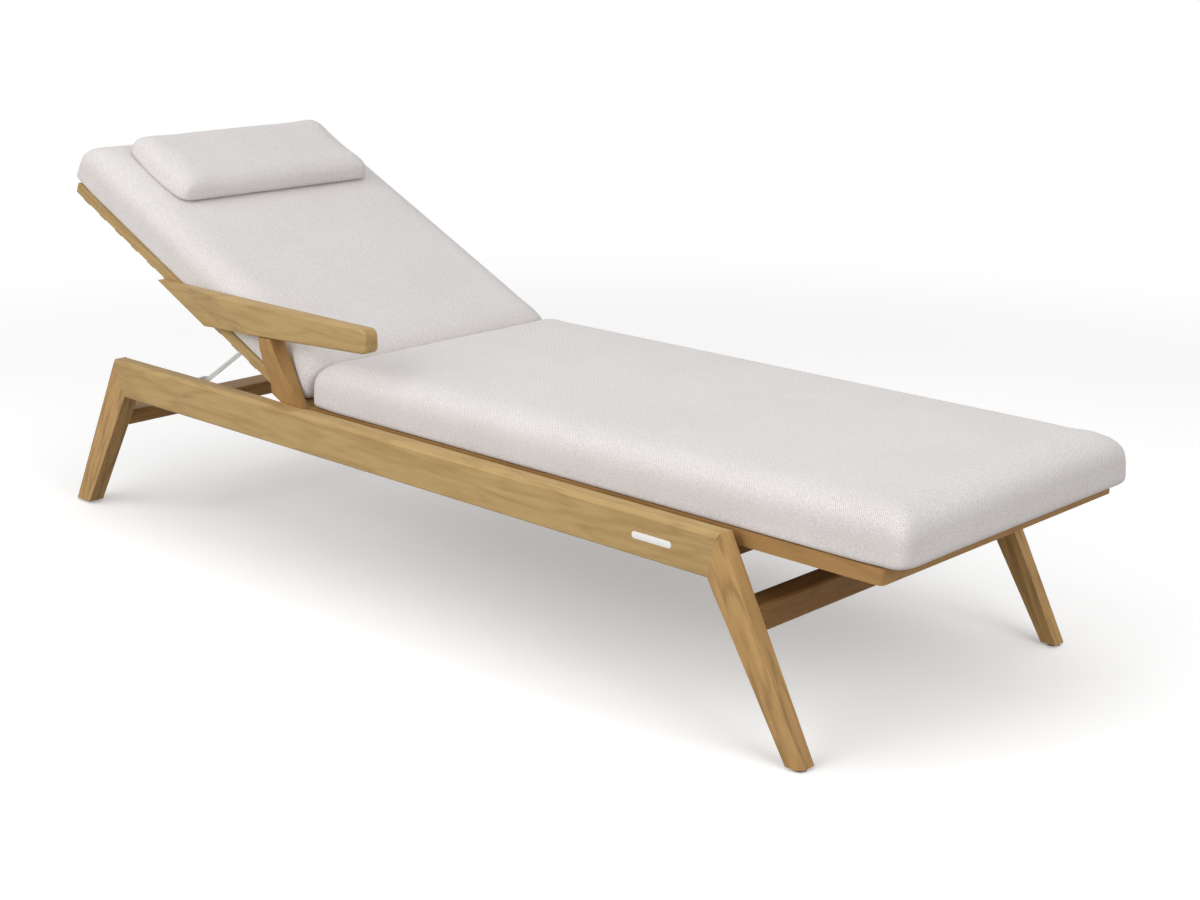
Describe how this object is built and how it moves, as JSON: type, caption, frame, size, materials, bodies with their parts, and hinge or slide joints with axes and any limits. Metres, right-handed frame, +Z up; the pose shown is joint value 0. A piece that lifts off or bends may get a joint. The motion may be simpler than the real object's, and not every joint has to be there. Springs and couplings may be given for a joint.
{
  "type": "sun lounger",
  "caption": "Low outdoor sun lounger with raked mitred legs, slatted seat and hinged back on a steel prop, an armrest on one side that tilts with the back, and thick cushions with a headrest.",
  "frame": {"origin": "on the floor, in the middle of the length and width with the back at its rest angle", "axes": "+X towards the foot end, +Y towards the sitter's left, +Z up"},
  "size_m": [2.0063, 0.7, 0.7339],
  "materials": {
    "teak": "oiled, open-pored",
    "cushion": "fine woven",
    "steel": "satin",
    "glide": "matt"
  },
  "bodies": {
    "base": {"side_rail_right": "teak", "side_rail_left": "teak", "front_leg_right": "teak", "front_leg_left": "teak", "rear_leg_right": "teak", "rear_leg_left": "teak", "front_stretcher": "teak", "rear_cross_rail": "teak", "prop_rack_right": "teak", "prop_rack_left": "teak", "seat_bearers": "teak", "seat_side_rail_right": "teak", "seat_side_rail_left": "teak", "seat_head_rail": "teak", "seat_foot_rail": "teak", "seat_slats": "teak", "foot_glides": "glide", "hinge_pins": "steel", "seat_cushion": "cushion"},
    "back": {"back_side_rail_right": "teak", "back_side_rail_left": "teak", "back_head_rail": "teak", "back_foot_rail": "teak", "back_slats": "teak", "armrest": "teak", "arm_post": "teak", "prop_brackets": "steel", "back_cushion": "cushion", "headrest_cushion": "cushion"},
    "prop": {"prop_rod": "steel"}
  },
  "joints": [
    {"name": "back_recline", "type": "hinge", "parent": "base", "child": "back", "pos_m": [-0.29285, 0, 0.307], "axis": [0, 1, 0], "range_deg": [-25, 20]},
    {"name": "prop_swing", "type": "hinge", "parent": "back", "child": "prop", "pos_m": [-0.5335, 0, 0.38391], "axis": [0, 1, 0], "range_deg": [-46.5, 58]}
  ],
  "couplings": [
    {"joint": "prop_swing", "follows": "back_recline", "ratio": -2.3}
  ]
}
